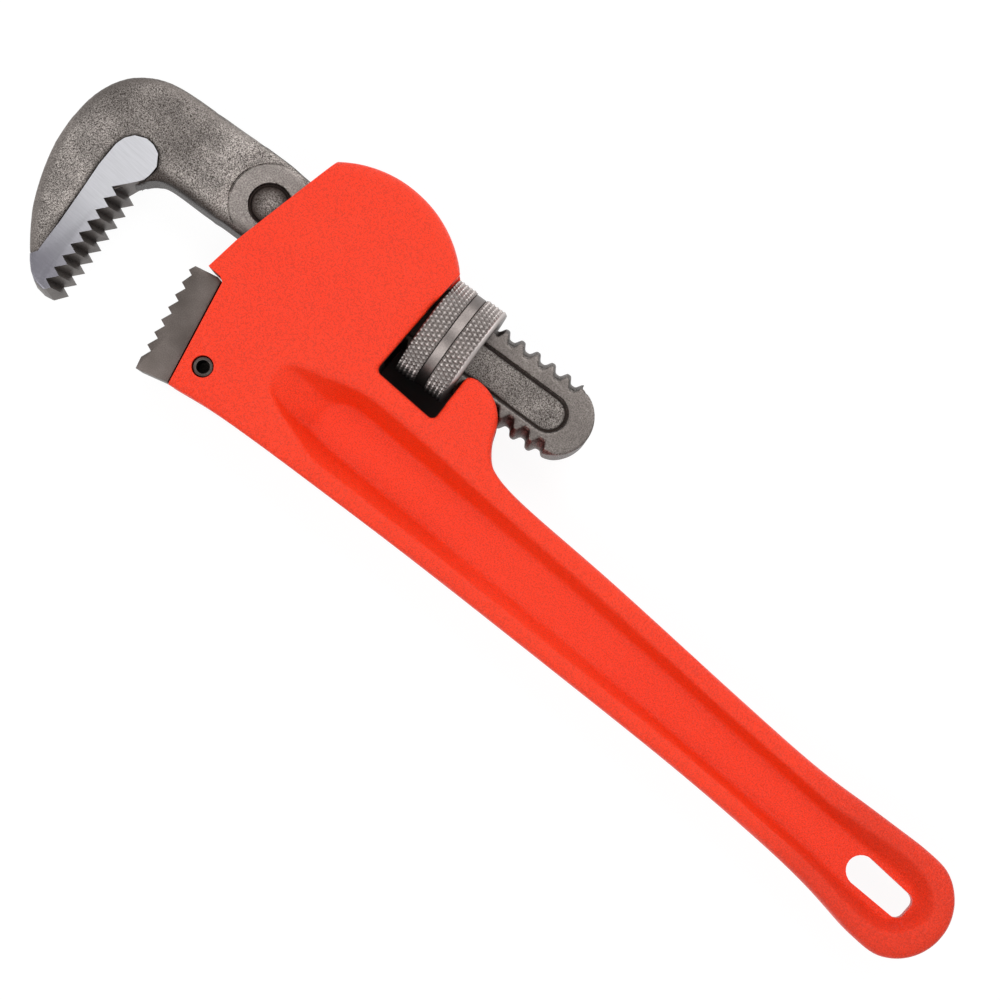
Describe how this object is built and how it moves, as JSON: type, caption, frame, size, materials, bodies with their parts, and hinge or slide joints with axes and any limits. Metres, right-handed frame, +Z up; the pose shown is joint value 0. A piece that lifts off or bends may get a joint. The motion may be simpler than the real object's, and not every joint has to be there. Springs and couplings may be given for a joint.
{
  "type": "pipe wrench",
  "caption": "Straight pipe wrench with a painted I-section handle, sliding toothed hook jaw, pinned heel jaw and knurled adjusting nut.",
  "frame": {"origin": "on the housing's lower side face, midway between the jaw mouth and the nut's window and under the line of the shank", "axes": "+X along the handle from the jaws to the hanging end; +Y from the heel jaw's side to the curved back of the housing; +Z up, square to the side faces, with the wrench lying on its side"},
  "size_m": [0.2662, 0.0725, 0.025],
  "materials": {
    "handle_paint": "powder coat with fine orange peel over cast iron",
    "forged_steel": "grey as-forged, grained, with a ground flat beside the teeth",
    "jaw_steel": "dark heat-treated steel, fine grain",
    "nut_steel": "dark steel, diamond knurled",
    "spring_steel": "dark oiled spring steel"
  },
  "bodies": {
    "handle_body": {"handle": "handle_paint", "heel_jaw": "jaw_steel", "heel_jaw_pin": "spring_steel", "coil_spring": "spring_steel"},
    "spring_body": {"flat_spring": "spring_steel", "spring_rivet": "jaw_steel"},
    "nut_body": {"adjusting_nut": "nut_steel"},
    "hook_body": {"hook_jaw": "forged_steel"}
  },
  "joints": [
    {"name": "jaw_rock", "type": "hinge", "parent": "handle_body", "child": "spring_body", "pos_m": [0.0269, 0, 0.0105], "axis": [0, 0, 1], "range_deg": [-0.4, 2.5], "stiffness_Nm_per_rad": 4, "deforming": ["coil_spring"]},
    {"name": "hook_slide", "type": "slide", "parent": "spring_body", "child": "hook_body", "axis": [0.9962, 0.0872, 0], "range_m": [-0.0185, 0.0155]},
    {"name": "nut_spin", "type": "hinge", "parent": "spring_body", "child": "nut_body", "pos_m": [0.0269, 0, 0.0105], "axis": [-0.9962, -0.0872, 0], "range_deg": [-1574.4, 1319.2]}
  ],
  "couplings": [
    {"joint": "nut_spin", "follows": "hook_slide", "rad_per_m": 1484.3}
  ]
}
